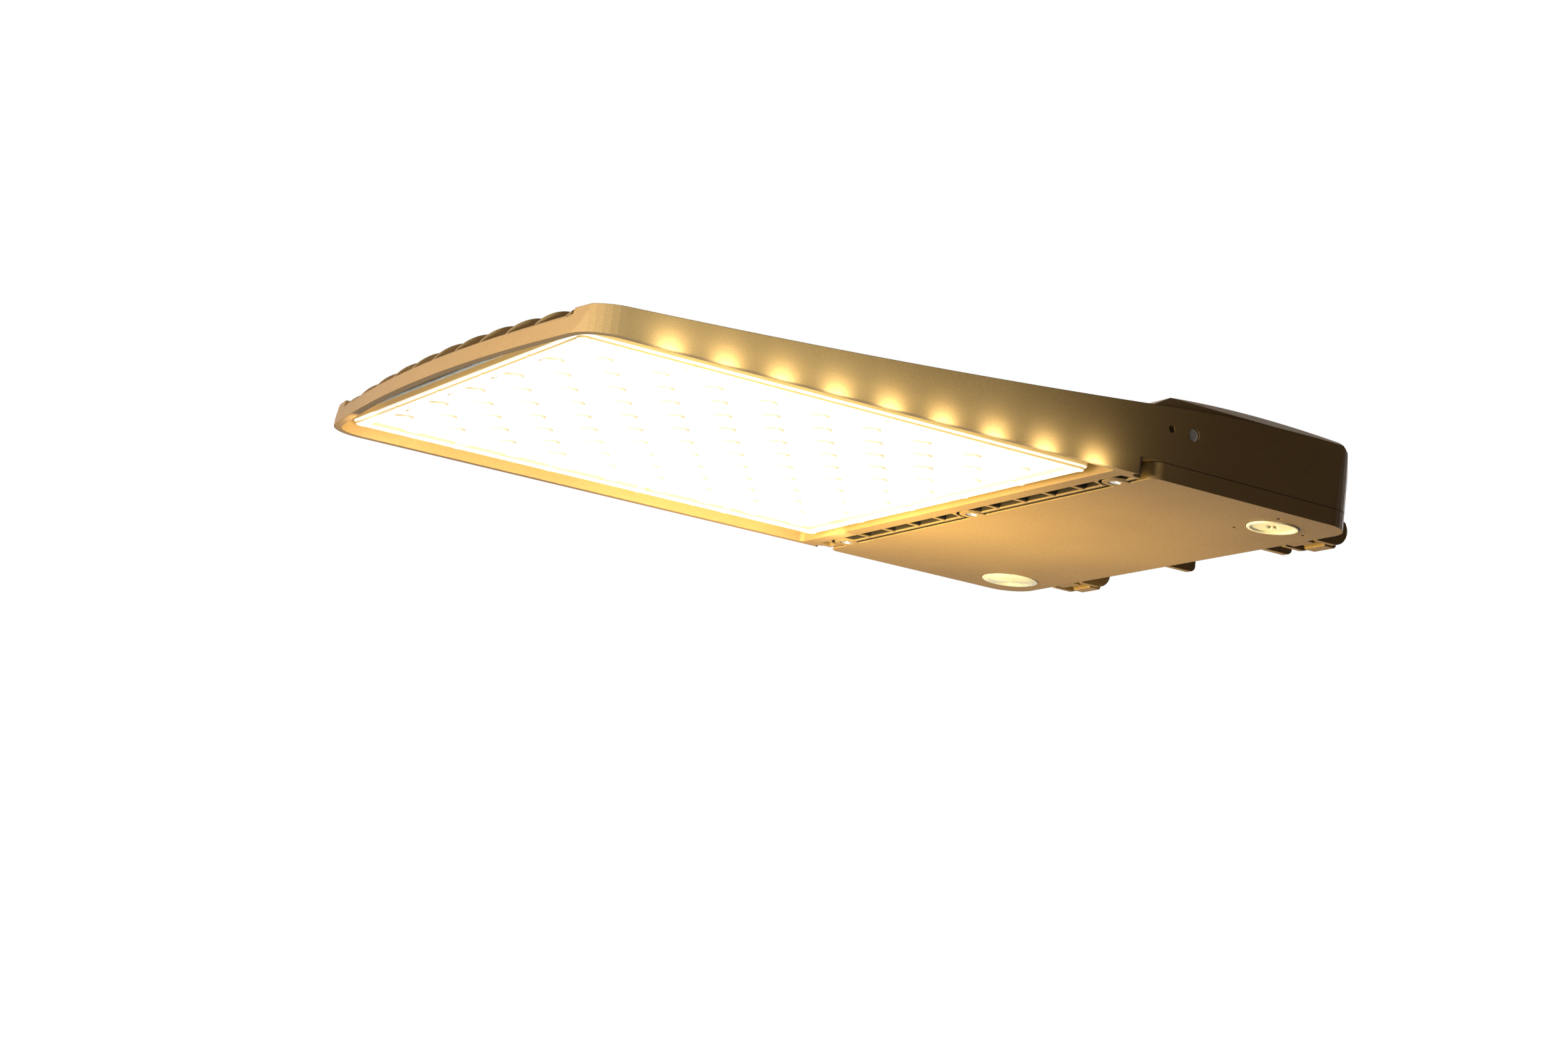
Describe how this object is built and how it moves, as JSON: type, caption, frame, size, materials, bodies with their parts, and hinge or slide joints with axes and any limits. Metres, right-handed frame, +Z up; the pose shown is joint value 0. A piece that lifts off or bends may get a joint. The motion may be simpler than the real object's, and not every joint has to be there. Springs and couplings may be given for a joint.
{
  "type": "shoebox area light",
  "caption": "Flat die-cast pole light with a finned LED tray, clear optic lens, and a rear driver box whose door hinges down on captive screws.",
  "frame": {"origin": "centre of the vertical face that the pole arm bolts to, between the two cheeks", "axes": "+X points back along the arm to the pole, +Z points up, light leaves towards -Z"},
  "size_m": [0.617, 0.38, 0.0601],
  "materials": {
    "housing": "bronze powder coat, fine texture, satin",
    "lens": "clear moulded optic plate, glossy",
    "gasket_grey": "silicone, matte",
    "steel": "stainless, satin",
    "board": "white solder resist on aluminium",
    "led": "warm phosphor, lit",
    "connector_white": "moulded nylon",
    "driver_case": "anodised, satin",
    "wire_red": "PVC insulation",
    "rubber": "black rubber, matte",
    "surge_case": "moulded case",
    "wire_black": "PVC insulation",
    "wire_green": "PVC insulation",
    "screw_green": "green passivated steel",
    "vent_grey": "moulded nylon",
    "door": "bronze powder coat, fine texture, satin",
    "gasket_black": "closed-cell silicone, matte",
    "plug_cream": "moulded, semi-gloss",
    "nut_cream": "moulded nylon",
    "sensor_clear": "clear moulded window, glossy",
    "sensor_case": "moulded case",
    "spring_steel": "spring steel"
  },
  "bodies": {
    "fixture": {"housing": "housing", "lens": "lens", "lens_gasket": "gasket_grey", "lens_screws": "steel", "led_board_front": "board", "led_board_rear": "board", "leds": "led", "board_screws": "steel", "board_connectors": "connector_white", "driver": "driver_case", "driver_screws": "steel", "driver_lead": "wire_red", "lead_grommet": "rubber", "surge_protector": "surge_case", "surge_screws": "steel", "surge_wires": "wire_black", "terminal_block": "connector_white", "terminal_screws": "steel", "input_wires": "wire_black", "ground_wire": "wire_green", "ground_screw": "screw_green", "arm_grommet": "rubber", "breather_vent": "vent_grey", "hinge_pin_near": "steel", "hinge_pin_far": "steel"},
    "door": {"door": "door", "door_gasket": "gasket_black", "control_plug": "plug_cream", "plug_seal": "rubber", "plug_nut": "nut_cream", "sensor_window": "sensor_clear", "sensor_seal": "rubber", "sensor_module": "sensor_case"},
    "door_screw_near": {"door_screw_near": "steel", "screw_clip_near": "spring_steel"},
    "door_screw_mid": {"door_screw_mid": "steel", "screw_clip_mid": "spring_steel"},
    "door_screw_far": {"door_screw_far": "steel", "screw_clip_far": "spring_steel"}
  },
  "joints": [
    {"name": "door_hinge", "type": "hinge", "parent": "fixture", "child": "door", "pos_m": [0.015, 0, -0.0186], "axis": [0, -1, 0], "range_deg": [0, 90]},
    {"name": "door_screw_near_slide", "type": "slide", "parent": "door", "child": "door_screw_near", "axis": [0, 0, -1], "range_m": [0, 0.0075]},
    {"name": "door_screw_mid_slide", "type": "slide", "parent": "door", "child": "door_screw_mid", "axis": [0, 0, -1], "range_m": [0, 0.0075]},
    {"name": "door_screw_far_slide", "type": "slide", "parent": "door", "child": "door_screw_far", "axis": [0, 0, -1], "range_m": [0, 0.0075]}
  ]
}
